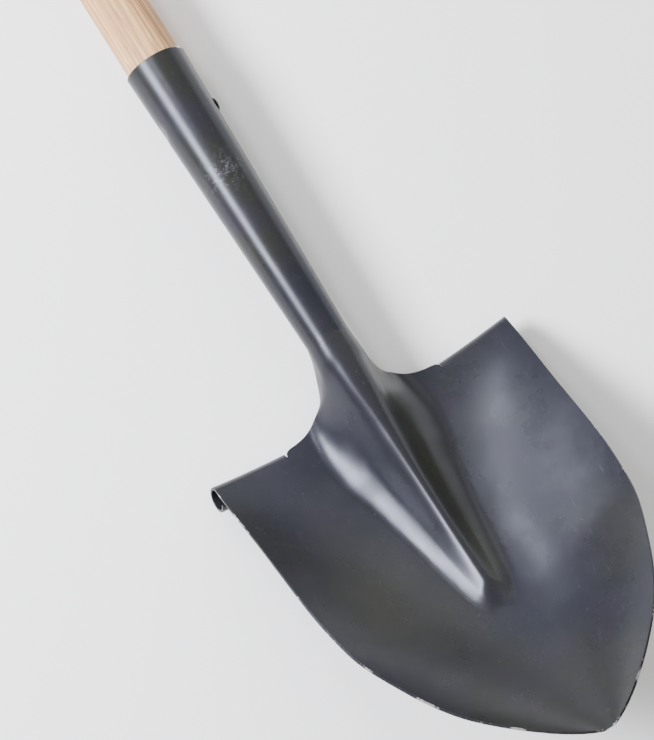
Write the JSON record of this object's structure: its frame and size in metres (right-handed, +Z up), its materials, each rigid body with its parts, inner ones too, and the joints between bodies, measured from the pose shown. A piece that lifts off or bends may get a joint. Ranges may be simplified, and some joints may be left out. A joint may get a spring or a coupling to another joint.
{
  "type": "garden spade",
  "caption": "Round-point digging shovel: dished pressed-steel blade with rolled foot treads and a ridged open socket, riveted to a long straight round wooden handle.",
  "frame": {"origin": "bottom centre of the bounding box; the tool lies on the ground, front face up", "axes": "+X from the handle's free end towards the blade tip, +Y sideways, +Z up out of the front face"},
  "size_m": [1.5176, 0.2276, 0.1349],
  "materials": {
    "blade_paint": "satin charcoal-black paint, worn bare on the ridge crest and edges",
    "ash_wood": "pale straight-grained ash, thin satin varnish",
    "rivet_steel": "satin charcoal-black paint over steel"
  },
  "bodies": {
    "root": {"blade": "blade_paint", "handle": "ash_wood", "rivet": "rivet_steel"}
  },
  "joints": []
}
